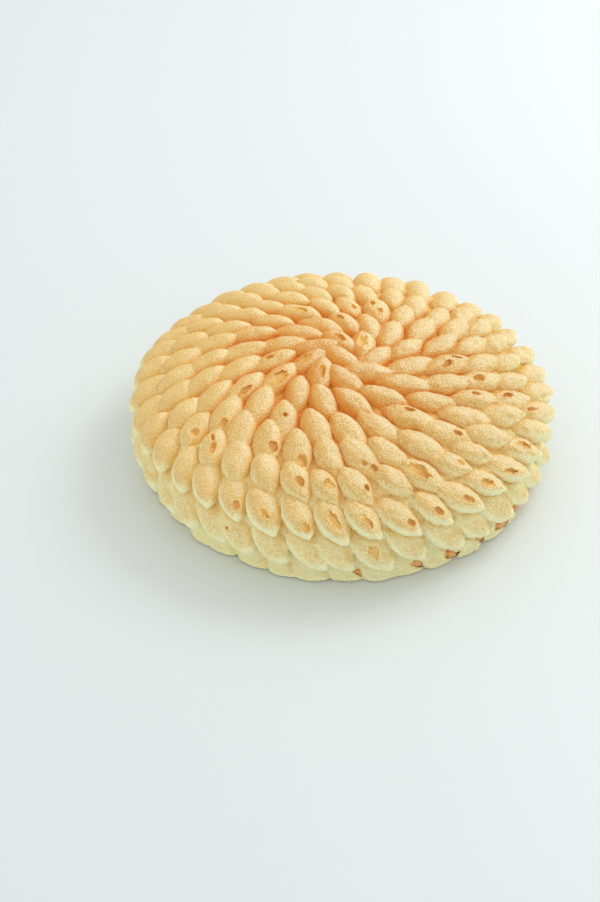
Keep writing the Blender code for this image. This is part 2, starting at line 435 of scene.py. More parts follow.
@dataclass(frozen=True)
class Hollow:
    """A burst air bubble in one petal, as a closed shape that is cut out of the cream."""

    ring: int
    number: int
    along: float
    across: float
    length: float
    width: float
    depth: float
    relief: Relief = Relief.PIT
    turn_deg: float = 0.0

    # The wall is drawn in from the ball's, so the ball reaches past half of the opening
    length_reach: ClassVar[float] = 0.70
    width_reach: ClassVar[float] = 0.74
    step_along: ClassVar[float] = 0.02
    step_across: ClassVar[float] = 0.05
    wave_fineness: ClassVar[float] = 1.9
    wave_shift: ClassVar[float] = 3.1
    wave_middle: ClassVar[float] = 0.45
    wave_swing: ClassVar[float] = 0.8

    def place(self, petal: Petal, form: PetalForm) -> Matrix:
        """Gives the hollow's place and size on its petal.

        Args:
            petal: The petal that it opens in.
            form: The petals' form.

        Returns:
            The matrix that turns a unit ball into the hollow.
        """
        spot = self.on_skin(petal, form, self.along, self.across)
        ahead = self.on_skin(petal, form, self.along + self.step_along, self.across) - spot
        aside = self.on_skin(petal, form, self.along, self.across + self.step_across) - spot
        normal = ahead.cross(aside).normalized()
        axis = (ahead - ahead.dot(normal) * normal).normalized()
        basis = Matrix((axis, normal.cross(axis), normal)).transposed()
        basis = basis @ Matrix.Rotation(math.radians(self.turn_deg), 3, "Z")
        reach = (self.length_reach * self.length, self.width_reach * self.width, self.depth)
        basis = basis @ Matrix.Diagonal(reach)
        return petal.place @ Matrix.Translation(spot) @ basis.to_4x4()

    @staticmethod
    def on_skin(petal: Petal, form: PetalForm, along: float, across: float) -> Vector:
        """Gives a point of a petal's upper skin in the petal's own frame.

        Args:
            petal: The petal.
            form: The petals' form.
            along: 0 at its head, 1 at its tip.
            across: -1 at one edge, 1 at the other.

        Returns:
            The point.
        """
        half_width = form.half_width(petal.width, along)
        cosine = math.copysign(abs(across) ** (1.0 / form.plumpness), across)
        height = form.depth(petal.rise, along)
        height *= max(0.0, 1.0 - cosine * cosine) ** (0.5 * form.plumpness)
        return Vector((petal.length * (along - 0.5), half_width * across, height))

    def tool(self, place: Matrix, seed: int) -> bpy.types.Object:
        """Makes the closed shape, everywhere within the unit ball that place turns.

        Args:
            place: The hollow's place and size.
            seed: Shifts its unevenness.

        Returns:
            The cutting object.
        """
        builder = bmesh.new()
        bmesh.ops.create_icosphere(builder, subdivisions=3, radius=1.0)
        shift = Vector((self.wave_shift * seed, 0.0, 0.0))
        for vertex in builder.verts:
            wave = noise.noise(self.wave_fineness * vertex.co + shift)
            wave = clamp(self.wave_middle + self.wave_swing * wave)
            vertex.co *= 1.0 - self.relief.value * wave
        bmesh.ops.transform(builder, matrix=place, verts=builder.verts)
        return new_object("hollow", builder)


BURST_BUBBLES = (
    Hollow(0, 5, 0.50, 0.15, 0.0065, 0.0022, 0.0017),
    Hollow(0, 1, 0.46, 0.05, 0.0088, 0.004, 0.0013, Relief.SCAR),
    Hollow(0, 2, 0.44, 0.00, 0.0062, 0.0028, 0.002),
    Hollow(0, 4, 0.56, -0.20, 0.008, 0.004, 0.0012, Relief.SCAR),
    Hollow(1, 7, 0.52, -0.10, 0.0034, 0.002, 0.0016),
    Hollow(1, 6, 0.56, -0.60, 0.0028, 0.0016, 0.0012),
    Hollow(2, 6, 0.36, 0.20, 0.008, 0.003, 0.0009, Relief.SCAR),
    Hollow(2, 4, 0.30, -0.20, 0.003, 0.002, 0.0014),
    Hollow(2, 3, 0.62, 0.30, 0.0042, 0.002, 0.0015),
    Hollow(2, 3, 0.36, -0.10, 0.0034, 0.002, 0.0014),
    Hollow(1, 8, 0.50, 0.20, 0.0085, 0.0045, 0.0012, Relief.SCAR),
    Hollow(2, 11, 0.56, 0.45, 0.0072, 0.0022, 0.0016, Relief.TEAR),
    Hollow(2, 20, 0.44, -0.35, 0.006, 0.0024, 0.0018, Relief.TEAR, 20.0),
    Hollow(2, 20, 0.68, 0.10, 0.0052, 0.002, 0.0018, Relief.TEAR, -15.0),
    Hollow(3, 27, 0.46, -0.05, 0.0048, 0.0032, 0.002),
    Hollow(3, 26, 0.50, 0.10, 0.0034, 0.0022, 0.0014),
    Hollow(2, 13, 0.44, 0.15, 0.002, 0.0015, 0.0014),
    Hollow(4, 20, 0.62, 0.30, 0.0034, 0.0028, 0.0016),
    Hollow(4, 21, 0.34, -0.10, 0.0034, 0.0016, 0.0014, Relief.TEAR, 25.0),
    Hollow(4, 21, 0.56, 0.10, 0.0052, 0.002, 0.0017),
    Hollow(3, 16, 0.66, 0.30, 0.004, 0.0026, 0.0016, Relief.TEAR),
    Hollow(3, 18, 0.62, 0.45, 0.0048, 0.0038, 0.0018, Relief.TEAR),
    Hollow(3, 19, 0.70, 0.20, 0.006, 0.0038, 0.0018, Relief.TEAR, 25.0),
    Hollow(4, 24, 0.62, 0.10, 0.0044, 0.0028, 0.0016),
    Hollow(4, 25, 0.56, 0.20, 0.005, 0.004, 0.0009, Relief.SCAR),
    Hollow(2, 17, 0.42, 0.30, 0.0052, 0.0024, 0.0016, Relief.TEAR, 10.0),
    Hollow(3, 21, 0.74, 0.05, 0.003, 0.0022, 0.0016),
    Hollow(3, 21, 0.60, -0.25, 0.0022, 0.0018, 0.0014),
    Hollow(4, 28, 0.46, -0.10, 0.0108, 0.0046, 0.0024, Relief.TEAR, -8.0),
    Hollow(4, 26, 0.70, 0.40, 0.0024, 0.0018, 0.0014),
    Hollow(5, 29, 0.66, 0.05, 0.0068, 0.0026, 0.0014, Relief.SCAR),
    Hollow(5, 28, 0.56, 0.15, 0.009, 0.0034, 0.0012, Relief.SCAR),
    Hollow(5, 27, 0.82, 0.30, 0.0046, 0.0024, 0.0016),
    Hollow(5, 25, 0.76, 0.30, 0.0034, 0.0022, 0.0012),
    Hollow(5, 26, 0.66, 0.10, 0.0044, 0.0026, 0.0012, Relief.SCAR),
    Hollow(5, 30, 0.76, 0.15, 0.003, 0.0024, 0.0016),
    Hollow(5, 31, 0.66, -0.10, 0.0038, 0.0024, 0.0016),
    Hollow(5, 32, 0.66, -0.10, 0.0044, 0.0026, 0.0017),
    Hollow(5, 33, 0.58, -0.20, 0.0054, 0.0034, 0.0017, Relief.TEAR, 10.0),
    Hollow(4, 29, 0.70, 0.10, 0.003, 0.0022, 0.0014),
    Hollow(5, 37, 0.34, -0.10, 0.0044, 0.0022, 0.0016, Relief.TEAR),
    Hollow(5, 35, 0.50, 0.10, 0.006, 0.0036, 0.0014, Relief.SCAR),
    Hollow(5, 34, 0.58, -0.50, 0.0056, 0.0026, 0.0014, Relief.SCAR, 15.0),
    Hollow(6, 30, 0.54, 0.15, 0.0054, 0.0036, 0.0008, Relief.SCAR),
    Hollow(6, 26, 0.46, -0.20, 0.0014, 0.0012, 0.0012),
    Hollow(4, 33, 0.50, 0.10, 0.0036, 0.0024, 0.0014),
    Hollow(3, 24, 0.70, 0.00, 0.0034, 0.0022, 0.0014),
    Hollow(1, 3, 0.55, 0.20, 0.0046, 0.0024, 0.0013, Relief.TEAR),
)


@dataclass(frozen=True)
class Openness:
    """How open each point of a skin is to the spray from above and to the air beside it."""

    spray_spread_deg: float = 50.0
    spray_rays: int = 12
    near_rays: int = 12
    near_reach: float = 0.0045
    lift_off: float = 0.00015
    smoothing: int = 2

    @staticmethod
    def spiral(heights: list[float]) -> list[Vector]:
        """Returns a unit direction for each height, turned on by the golden angle."""
        directions = []
        for number, height in enumerate(heights):
            flat = math.sqrt(1.0 - height * height)
            turn = GOLDEN_ANGLE * number
            directions.append(Vector((flat * math.cos(turn), flat * math.sin(turn), height)))
        return directions

    def spray_directions(self) -> list[Vector]:
        """Returns directions spread over a cone about the upward axis."""
        drop, count = 1.0 - math.cos(math.radians(self.spray_spread_deg)), self.spray_rays
        return self.spiral([1.0 - drop * (number + 0.5) / count for number in range(count)])

    def near_directions(self) -> list[Vector]:
        """Returns directions spread over the upper half of a ball."""
        count = self.near_rays
        return self.spiral([math.sqrt((number + 0.5) / count) for number in range(count)])

    def measure(self, mesh: bpy.types.Mesh) -> tuple[list[float], list[float]]:
        """Measures every vertex.

        Args:
            mesh: A closed skin.

        Returns:
            The share of the spray that reaches each vertex, and how open it is nearby.
        """
        points = [vertex.co.copy() for vertex in mesh.vertices]
        normals = [vertex.normal.copy() for vertex in mesh.vertices]
        tree = BVHTree.FromPolygons(points, [tuple(face.vertices) for face in mesh.polygons])
        from_above, around = self.spray_directions(), self.near_directions()
        spray, near = [], []
        for point, normal in zip(points, normals):
            start = point + self.lift_off * normal
            reached = 0.0
            for direction in from_above:
                slope = normal.dot(direction)
                if slope > 0.0 and tree.ray_cast(start, direction)[0] is None:
                    reached += slope
            spray.append(reached / len(from_above))
            basis = normal.to_track_quat("Z", "Y")
            free = sum(
                tree.ray_cast(start, basis @ direction, self.near_reach)[0] is None
                for direction in around
            )
            near.append(free / len(around))
        for _ in range(self.smoothing):
            spray, near = self.soften(mesh, spray), self.soften(mesh, near)
        return spray, near

    @staticmethod
    def soften(mesh: bpy.types.Mesh, values: list[float]) -> list[float]:
        """Returns each vertex's value averaged with those of its neighbours."""
        totals, counts = list(values), [1] * len(values)
        for edge in mesh.edges:
            first, second = edge.vertices
            totals[first] += values[second]
            totals[second] += values[first]
            counts[first] += 1
            counts[second] += 1
        return [total / count for total, count in zip(totals, counts)]


@dataclass(frozen=True)
class Lips:
    """How near each point of the skin lies to its petal's free lower edge or its tip.

    ring_shares ends with the middle petal's.
    """

    start: float = 0.50
    full: float = 0.90
    tip_start: float = 0.84
    tip_full: float = 0.96
    ring_shares: PerRing = (0.0, 0.0, 0.0, 0.1, 0.2, 0.5, 1.0, 1.0, 0.0)
    end_margin: float = 0.02
    neighbours: int = 6

    def measure(self, mesh: bpy.types.Mesh, petals: list[Petal], form: PetalForm) -> list[float]:
        """Measures every vertex against the petal whose skin it lies closest to.

        Args:
            mesh: The finished skin.
            petals: All the petals.
            form: Their form.

        Returns:
            For each vertex 0 away from the lip and 1 on it.
        """
        tree = KDTree(len(petals))
        for number, petal in enumerate(petals):
            tree.insert(petal.place.translation, number)
        tree.balance()
        into = [petal.place.inverted() for petal in petals]
        values = []
        for vertex in mesh.vertices:
            nearest, lip = math.inf, 0.0
            for _, number, _ in tree.find_n(vertex.co, self.neighbours):
                petal, spot = petals[number], into[number] @ vertex.co
                along = spot.x / petal.length + 0.5
                along = clamp(along, self.end_margin, 1.0 - self.end_margin)
                across = spot.y / form.half_width(petal.width, along)
                rise = form.depth(petal.rise, along)
                off = abs(math.hypot(across, max(spot.z, 0.0) / rise) - 1.0)
                if off < nearest:
                    share = (-across - self.start) / (self.full - self.start)
                    tip = (along - self.tip_start) / (self.tip_full - self.tip_start)
                    nearest, lip = off, self.ring_shares[petal.ring] * clamp(max(share, tip))
            values.append(lip)
        return values


def add_values(mesh: bpy.types.Mesh, name: str, domain: str, values: list[float]) -> None:
    """Stores a number for each vertex or face of a mesh under a name."""
    layer = mesh.attributes.new(name, "FLOAT", domain)
    layer.data.foreach_set("value", values)


def spin_profile(outline: list[Vector], steps: int) -> bmesh.types.BMesh:
    """Turns a profile of (radius, height) points round the upward axis.

    Args:
        outline: The profile from the axis at the top to the axis at the bottom.
        steps: How many sides the turned shape has.

    Returns:
        A new closed bmesh.
    """
    builder = bmesh.new()
    points = [builder.verts.new((point.x, 0.0, point.y)) for point in outline]
    edges = [builder.edges.new(pair) for pair in zip(points, points[1:])]
    bmesh.ops.spin(
        builder, geom=points + edges, cent=(0.0, 0.0, 0.0), axis=(0.0, 0.0, 1.0),
        angle=2.0 * math.pi, steps=steps, use_merge=True,
    )
    bmesh.ops.remove_doubles(builder, verts=builder.verts, dist=MERGE_DISTANCE)
    bmesh.ops.recalc_face_normals(builder, faces=builder.faces)
    return builder


@dataclass(frozen=True)
class BakedBase:
    """The thin baked disc, which stands out a little at the front right."""

    radius: float = 0.0818
    height: float = 0.0050
    offset: tuple[float, float] = BASE_OFFSET
    side: tuple[tuple[float, float], ...] = (
        (0.0, 0.985), (0.35, 1.0), (0.8, 0.995), (1.0, 0.975),
    )
    twist: float = 1.7
    roughness: float = 0.0006
    waves: tuple[int, ...] = (4, 7, 11, 17, 24)
    seed: int = 5
    uneven_from: float = 0.5
    room_segments: int = 180
    room_steps: int = 5
    segments: int = 720
    side_steps: int = 10
    hole_size: float = 0.0016
    hole_depth: float = 0.0011
    hole_start: float = 0.12
    hole_steepness: float = 3.0
    crag_share: float = 0.35
    crag_depth: float = 0.0004

    def edge(self, turn: float, level: float) -> float:
        """Gives how far the edge strays in or out.

        Args:
            turn: Angle round the axis.
            level: Share of the height.

        Returns:
            The shift along the radius.
        """
        stray = random.Random(self.seed)
        total = 0.0
        for waves in self.waves:
            phase = stray.uniform(0.0, 2.0 * math.pi)
            total += math.sin(waves * turn + phase + self.twist * level)
        return self.roughness * total / math.sqrt(len(self.waves))

    def reach(self, level: float) -> float:
        """Returns the width of the side at a level, as a share of the radius."""
        for (low, start), (high, end) in zip(self.side, self.side[1:]):
            if level <= high:
                return start + (end - start) * (level - low) / (high - low)
        return self.side[-1][1]

    def shaped(self, gap: float, segments: int, steps: int, craggy: bool) -> bmesh.types.BMesh:
        """Makes the disc, or the room that it stands in.

        Args:
            gap: How much larger it is all round.
            segments: Sides round the axis.
            steps: Steps up its side.
            craggy: Whether crumbs and holes are worked into the side.

        Returns:
            A new closed bmesh.
        """
        levels = [step / steps for step in range(steps + 1)]
        outline = [Vector((0.0, 0.0))]
        outline += [
            Vector((self.radius * self.reach(level) + gap, (self.height + gap) * level))
            for level in levels
        ]
        outline.append(Vector((0.0, self.height + gap)))
        builder = spin_profile(outline, segments)
        for vertex in builder.verts:
            distance = math.hypot(vertex.co.x, vertex.co.y)
            if distance < self.uneven_from * self.radius:
                continue
            turn = math.atan2(vertex.co.y, vertex.co.x)
            level = vertex.co.z / (self.height + gap)
            shift = self.edge(turn, level)
            if craggy:
                shift -= self.crumbs(vertex.co)
            vertex.co.x += shift * math.cos(turn)
            vertex.co.y += shift * math.sin(turn)
        bmesh.ops.translate(builder, verts=builder.verts, vec=(*self.offset, 0.0))
        return builder

    def crumbs(self, point: Vector) -> float:
        """Returns how deep the baked crumb is open at a point of the side."""
        cell = noise.noise(point / self.hole_size)
        hole = self.hole_depth * clamp(self.hole_steepness * (cell - self.hole_start))
        crag = noise.noise(point / (self.crag_share * self.hole_size))
        return hole + self.crag_depth * (0.5 + 0.5 * crag)

    def room(self, gap: float) -> bpy.types.Object:
        """Returns the shape that the disc takes out of the cream, with a gap all round."""
        return new_object("base_room", self.shaped(gap, self.room_segments, self.room_steps, False))

    def build(self) -> bpy.types.Object:
        """Returns the finished disc."""
        thing = new_object("baked_base", self.shaped(0.0, self.segments, self.side_steps, True))
        depths = [
            self.crumbs(vertex.co - Vector((*self.offset, 0.0)))
            / (self.hole_depth + self.crag_depth)
            for vertex in thing.data.vertices
        ]
        add_values(thing.data, "crumb_depth", "POINT", depths)
        thing.data.shade_smooth()
        return thing


@dataclass(frozen=True)
class PipedCream:
    """The petals joined over their core into one skin, with burst bubbles and a rough skin."""

    piping: Piping = Piping()
    base: BakedBase = BakedBase()
    openness: Openness = Openness()
    lips: Lips = Lips()
    hollows: tuple[Hollow, ...] = BURST_BUBBLES
    core_depth: float = 0.0040
    core_start: float = 0.12
    core_end: float = 0.98
    core_steps: int = 24
    core_segments: int = 120
    gap: float = 0.0003
    table_gap: float = 0.0008
    lump_size: float = 0.0060
    lump_height: float = 0.00045
    crumb_size: float = 0.0020
    crumb_height: float = 0.00060
    rough_side_deg: float = -20.0
    rough_middle: float = 0.55
    rough_slope: float = 0.9
    rough_least: float = 0.15
    sharp_deg: float = 60.0
    cut_tolerance: float = 0.00002
    # Direction to the light: slopes turned to it get a painted highlight, slopes turned away
    # painted shade
    light_from: Place = (0.51, 0.08, 0.86)

    def core(self) -> bpy.types.Object:
        """Returns the solid body under the petals, as high as the valleys between them."""
        walk = self.piping.walk()
        depth = self.core_depth
        inner = []
        for step in range(self.core_steps + 1):
            share = self.core_start + (self.core_end - self.core_start) * step / self.core_steps
            point, heading = walk.at(walk.total * share)
            inner.append(point - depth * Vector((-heading.y, heading.x)))
        top = Vector((0.0, self.piping.crest.height(0.0) - depth))
        foot = Vector((inner[-1].x, 0.0))
        outline = [top] + inner + [foot, Vector((0.0, 0.0))]
        return new_object("cream", spin_profile(outline, self.core_segments))

    def table_cutter(self) -> bpy.types.Object:
        """Returns a block that takes off what would hang lower than the gap over the table."""
        depth = self.piping.crest.height(0.0)
        width = 4.0 * self.piping.crest.cake_radius
        builder = bmesh.new()
        bmesh.ops.create_cube(builder, size=1.0)
        bmesh.ops.scale(builder, verts=builder.verts, vec=(width, width, depth))
        lift = (0.0, 0.0, self.table_gap - 0.5 * depth)
        bmesh.ops.translate(builder, verts=builder.verts, vec=lift)
        return new_object("table_cutter", builder)

    def rough(self, point: Vector) -> float:
        """Returns how crumbly the sprayed skin is at a point, from 0 to 1."""
        side = math.radians(self.rough_side_deg)
        along = point.x * math.cos(side) + point.y * math.sin(side)
        share = along / self.piping.crest.cake_radius
        return clamp(self.rough_middle + self.rough_slope * share, self.rough_least)

    def roughen(self, mesh: bpy.types.Mesh) -> None:
        """Works low lumps and crumbs into a skin."""
        shifts = []
        for vertex in mesh.vertices:
            lump = self.lump_height * noise.noise(vertex.co / self.lump_size)
            crumb = self.crumb_height * noise.noise(vertex.co / self.crumb_size)
            shifts.append(vertex.normal * (lump + crumb * self.rough(vertex.co)))
        for vertex, shift in zip(mesh.vertices, shifts):
            vertex.co += shift
        mesh.update()

    def petal_shapes(self, petals: list[Petal]) -> list[bpy.types.Object]:
        """Returns the petals' closed shapes, each in its place."""
        shapes = []
        for petal in petals:
            builder = self.piping.form.build(petal.length, petal.width, petal.rise)
            bmesh.ops.transform(builder, matrix=petal.place, verts=builder.verts)
            shapes.append(new_object("petal", builder))
        return shapes

    def hollow_tools(self, petals: list[Petal]) -> list[bpy.types.Object]:
        """Returns the closed shapes that cut the hollows."""
        by_name = {(petal.ring, petal.number): petal for petal in petals}
        return [
            hollow.tool(hollow.place(by_name[hollow.ring, hollow.number], self.piping.form), seed)
            for seed, hollow in enumerate(self.hollows)
        ]

    @staticmethod
    def skins(shapes: list[bpy.types.Object]) -> BVHTree:
        """Returns a search tree of the skins of all the shapes."""
        builder = bmesh.new()
        for shape in shapes:
            builder.from_mesh(shape.data)
        tree = BVHTree.FromBMesh(builder)
        builder.free()
        return tree

    def build(self) -> bpy.types.Object:
        """Returns the finished cream."""
        petals = self.piping.petals()
        shapes = self.petal_shapes(petals)
        cream = self.core()
        combine(cream, "UNION", shapes)
        keep_main_shell(cream)
        log.info("petals joined: %d triangles", triangle_count(cream))
        self.roughen(cream.data)

        tools = self.hollow_tools(petals)
        cuts = self.skins(tools)
        combine(cream, "DIFFERENCE", [*tools, self.base.room(self.gap), self.table_cutter()])
        keep_main_shell(cream)
        self.store(cream.data, petals, cuts)
        cream.data.shade_smooth()
        cream.data.set_sharp_from_angle(angle=math.radians(self.sharp_deg))
        return cream

    def store(self, mesh: bpy.types.Mesh, petals: list[Petal], cuts: BVHTree) -> None:
        """Stores on the skin what its finish reads.

        These are the spray, openness, roughness, how far each point is turned to the light (for
        painted highlight and shade), lips and hollows.

        Args:
            mesh: The finished skin.
            petals: All the petals.
            cuts: The skins of the shapes that cut the hollows.
        """
        spray, near = self.openness.measure(mesh)
        add_values(mesh, "spray", "POINT", spray)
        add_values(mesh, "open", "POINT", near)
        add_values(mesh, "rough", "POINT", [self.rough(vertex.co) for vertex in mesh.vertices])
        # How far each point is turned to the light, for the painted highlight and shade
        light_from = Vector(self.light_from)
        light_facing = [max(vertex.normal.dot(light_from), 0.0) for vertex in mesh.vertices]
        add_values(mesh, "light_facing", "POINT", light_facing)
        lips = self.lips.measure(mesh, petals, self.piping.form)
        add_values(mesh, "lip", "POINT", self.openness.soften(mesh, lips))
        inside = [
            float(cuts.find_nearest(face.center, self.cut_tolerance)[0] is not None)
            for face in mesh.polygons
        ]
        add_values(mesh, "hollow", "FACE", inside)


def triangle_count(thing: bpy.types.Object) -> int:
    """Returns how many triangles a piece has."""
    return sum(len(face.vertices) - 2 for face in thing.data.polygons)


def paint(colour: Colour) -> tuple[float, float, float, float]:
    """Gives the linear colour for a screen colour.

    Args:
        colour: Red, green and blue, each from 0 to 255.

    Returns:
        Linear red, green, blue and an alpha of 1.
    """
    linear = [
        share / 12.92 if share <= 0.04045 else ((share + 0.055) / 1.055) ** 2.4
        for share in (part / 255.0 for part in colour)
    ]
    return (*linear, 1.0)


class Nodes:
    """A short way to place and join the nodes of one material or node group."""

    def __init__(self, tree: bpy.types.NodeTree) -> None:
        """Keeps the tree that the nodes go into."""
        self.tree = tree

    def fill(self, node: bpy.types.Node, inputs: dict) -> None:
        """Gives a node's inputs, by name or number, a value or the socket that feeds them."""
        for name, value in inputs.items():
            if isinstance(value, Socket):
                self.tree.links.new(value, node.inputs[name])
            else:
                node.inputs[name].default_value = value

    def shade(self, inputs: dict) -> None:
        """Fills the inputs of the material's own shader."""
        self.fill(self.tree.nodes["Principled BSDF"], inputs)

    def add(self, kind: str, inputs: dict | None = None, **settings: object) -> bpy.types.Node:
        """Places a node.

        Args:
            kind: The node's type, without the words ShaderNode.
            inputs: For each input's name or number, a value or the socket that feeds it.
            settings: The node's own properties.

        Returns:
            The node.
        """
        node = self.tree.nodes.new(kind if kind.startswith("Node") else f"ShaderNode{kind}")
        for name, value in settings.items():
            setattr(node, name, value)
        self.fill(node, inputs or {})
        return node

    def place(self) -> Socket:
        """Returns the socket of the place on the piece."""
        return self.add("TexCoord").outputs["Object"]

    def cloud(self, scale: float, detail: float) -> Socket:
        """Places a Noise texture on the piece and returns its value's socket."""
        inputs = {"Vector": self.place(), "Scale": scale, "Detail": detail}
        return self.add("TexNoise", inputs).outputs["Fac"]

    def math(self, operation: str, first: object, second: object) -> Socket:
        """Places a Math node and returns its result's socket."""
        return self.add("Math", {0: first, 1: second}, operation=operation).outputs[0]

    def remap(self, value: object, ramp: Ramp) -> Socket:
        """Places a clamped Map Range node and returns its result's socket."""
        inputs = dict(enumerate((value, *ramp)))
        return self.add("MapRange", inputs, clamp=True).outputs[0]

    def blend(self, share: object, first: object, second: object, kind: str = "MIX") -> Socket:
        """Places a colour Mix node and returns its result's socket."""
        node = self.add("Mix", {0: share, 6: first, 7: second}, data_type="RGBA", blend_type=kind)
        return node.outputs[2]

    def value_of(self, name: str) -> Socket:
        """Returns the socket of a number that is stored on the mesh."""
        return self.add("Attribute", attribute_name=name).outputs["Fac"]


def new_material(name: str) -> tuple[bpy.types.Material, Nodes]:
    """Returns a new material and the way to place its nodes."""
    material = bpy.data.materials.new(name)
    material.use_nodes = True
    return material, Nodes(material.node_tree)


@dataclass(frozen=True)
class Grain:
    """The shared grain: fine round crumbs with coarser drifts between them."""

    inputs: tuple[tuple[str, float], ...] = (
        ("Crumb Scale", 1500.0), ("Drift Scale", 260.0), ("Drift Share", 0.3),
    )
    crumb: Ramp = (0.0, 0.75, 1.0, 0.0)
    drift_detail: float = 4.0
    drift_roughness: float = 0.6

    def group(self) -> bpy.types.NodeTree:
        """Builds the node group."""
        tree = bpy.data.node_groups.new("crumb_grain", "ShaderNodeTree")
        for name, value in self.inputs:
            socket = tree.interface.new_socket(
                name, in_out="INPUT", socket_type="NodeSocketFloat"
            )
            socket.default_value = value
        for name in ("Height", "Speckle"):
            tree.interface.new_socket(name, in_out="OUTPUT", socket_type="NodeSocketFloat")
        nodes = Nodes(tree)
        given = nodes.add("NodeGroupInput").outputs
        place = nodes.place()
        cells = nodes.add(
            "TexVoronoi", {"Vector": place, "Scale": given["Crumb Scale"]}, feature="F1"
        ).outputs
        crumb = nodes.remap(cells["Distance"], self.crumb)
        shade = nodes.add("SeparateColor", {0: cells["Color"]}).outputs[0]
        drift = nodes.add("TexNoise", {
            "Vector": place, "Scale": given["Drift Scale"],
            "Detail": self.drift_detail, "Roughness": self.drift_roughness,
        }).outputs["Fac"]
        shares = {0: given["Drift Share"], 2: crumb, 3: drift}
        mixed = nodes.add("Mix", shares, data_type="FLOAT").outputs[0]
        nodes.add("NodeGroupOutput", {"Height": mixed, "Speckle": shade})
        return tree


@dataclass(frozen=True)
class CreamFinish:
    """Pale cream under a velvet spray that is peach in the middle and thins out to the sides.

    A ramp turns the span between its first two numbers into that between its last two. Light is
    painted in as well: a highlight on slopes turned to the light, and shade on slopes turned away,
    in the valleys, in the crumb pits and deep in the hollows.
    """

    grain: bpy.types.NodeTree
    cake_radius: float

    # Colours on the screen
    bare: Colour = (255, 250, 192)
    # Unsprayed cream at the lips and tips, painted a little brighter than bare cream as a rim
    # highlight
    lip_bare_and_highlight: Colour = (255, 252, 210)
    spray_middle: Colour = (236, 198, 124)
    spray_centre: Colour = (228, 164, 86)
    # Painted highlight on slopes turned to the light
    painted_highlight: Colour = (250, 230, 180)
    spray_edge: Colour = (240, 206, 136)
    # Painted shade, warm orange: in the valleys, in crumb pits and on slopes turned from the light;
    # paler at the sides
    painted_shade: Colour = (238, 158, 62)
    side_painted_shade: Colour = (240, 194, 98)
    inside: Colour = (250, 198, 100)
    # Painted shade deep in the hollows
    hollow_painted_shade: Colour = (226, 144, 46)

    # The distance from the middle, in cake radii, strays in large patches
    patch_scale: float = 28.0
    patch_shift: Ramp = (0.3, 0.7, -0.12, 0.12)
    warm_reach: Ramp = (0.35, 0.98, 1.0, 0.0)
    centre_reach: Ramp = (0.02, 0.50, 0.90, 0.0)
    covered_reach: Ramp = (0.65, 0.35, 0.0, 1.0)

    # How much of the cream the spray covers
    speckle_gain: Ramp = (0.0, 1.0, 0.6, 1.4)
    smooth_gain: Ramp = (0.15, 0.80, 0.06, 0.0)
    lip_loss: float = 0.5
    cover: Ramp = (0.09, 0.52, 0.0, 1.0)

    # What the grain, the painted crumb shade, the painted highlight and shade on slopes turned to
    # and from the light, the painted shade in the valleys, the lips and the hollows change
    crumb_scale: float = 1450.0
    drift_share: float = 0.25
    # Painted shade in the crumb pits
    crumb_pit_shade: Ramp = (0.42, 0.12, 0.0, 0.6)
    # Painted highlight on slopes turned to the light, painted shade on those turned away
    light_facing_grain: Ramp = (0.1, 0.6, -0.10, 0.05)
    shaded: Ramp = (0.74, 0.30, 0.0, 0.9)
    highlighted: Ramp = (0.72, 1.0, 0.0, 0.95)
    # Painted shade in the valleys, where little is open nearby
    closed: Ramp = (0.97, 0.50, 0.0, 0.95)
    crease_shade_kept: Ramp = (0.0, 1.0, 1.0, 0.3)
    lip_share: float = 0.95
    # Painted shade deeper in the hollows
    hollow_shade: Ramp = (0.95, 0.55, 0.0, 1.0)
    hollow_share: float = 0.7
    # Painted light and shade of the crumbs: lit tops and shaded pits
    crumb_light_and_shade: Ramp = (0.10, 0.60, 0.84, 1.05)
    crumb_rise: Ramp = (0.0, 1.0, 0.45, 1.0)
    crumb_depth: float = 0.00050
    roughness: Ramp = (0.0, 1.0, 0.78, 0.95)
    specular: float = 0.3

    def reach(self, nodes: Nodes) -> Socket:
        """Returns the socket of the distance from the middle."""
        axes = nodes.add("SeparateXYZ", {0: nodes.place()}).outputs
        flat = nodes.add("CombineXYZ", {0: axes[0], 1: axes[1]}).outputs[0]
        radius = nodes.add("VectorMath", {0: flat}, operation="LENGTH").outputs["Value"]
        shift = nodes.remap(nodes.cloud(self.patch_scale, 2.0), self.patch_shift)
        return nodes.math("ADD", nodes.math("DIVIDE", radius, self.cake_radius), shift)

    def material(self) -> bpy.types.Material:
        """Returns the material."""
        material, nodes = new_material("sprayed_cream_skin")
        stored = ("spray", "open", "rough", "light_facing", "lip", "hollow")
        spray, near, rough, light_facing, lip, hollow = (nodes.value_of(name) for name in stored)
        scales = {"Crumb Scale": self.crumb_scale, "Drift Share": self.drift_share}
        grain = nodes.add("Group", scales, node_tree=self.grain).outputs
        crumb, speckle = grain["Height"], grain["Speckle"]
        reach = self.reach(nodes)
        warmth = nodes.remap(reach, self.warm_reach)

        cover = nodes.math("MULTIPLY", spray, nodes.remap(speckle, self.speckle_gain))
        cover = nodes.math("ADD", cover, nodes.remap(rough, self.smooth_gain))
        cover = nodes.math("SUBTRACT", cover, nodes.math("MULTIPLY", lip, self.lip_loss))
        cover = nodes.remap(cover, self.cover)
        cover = nodes.math("MAXIMUM", cover, nodes.remap(reach, self.covered_reach))

        sprayed = nodes.blend(warmth, paint(self.spray_edge), paint(self.spray_middle))
        centre = nodes.remap(reach, self.centre_reach)
        sprayed = nodes.blend(centre, sprayed, paint(self.spray_centre))
        painted_shade = nodes.blend(warmth, paint(self.side_painted_shade), paint(self.painted_shade))
        # Painted shade in the crumb pits
        crumb_pit_shade = nodes.math("MULTIPLY", nodes.remap(crumb, self.crumb_pit_shade), rough)
        sprayed = nodes.blend(crumb_pit_shade, sprayed, painted_shade)
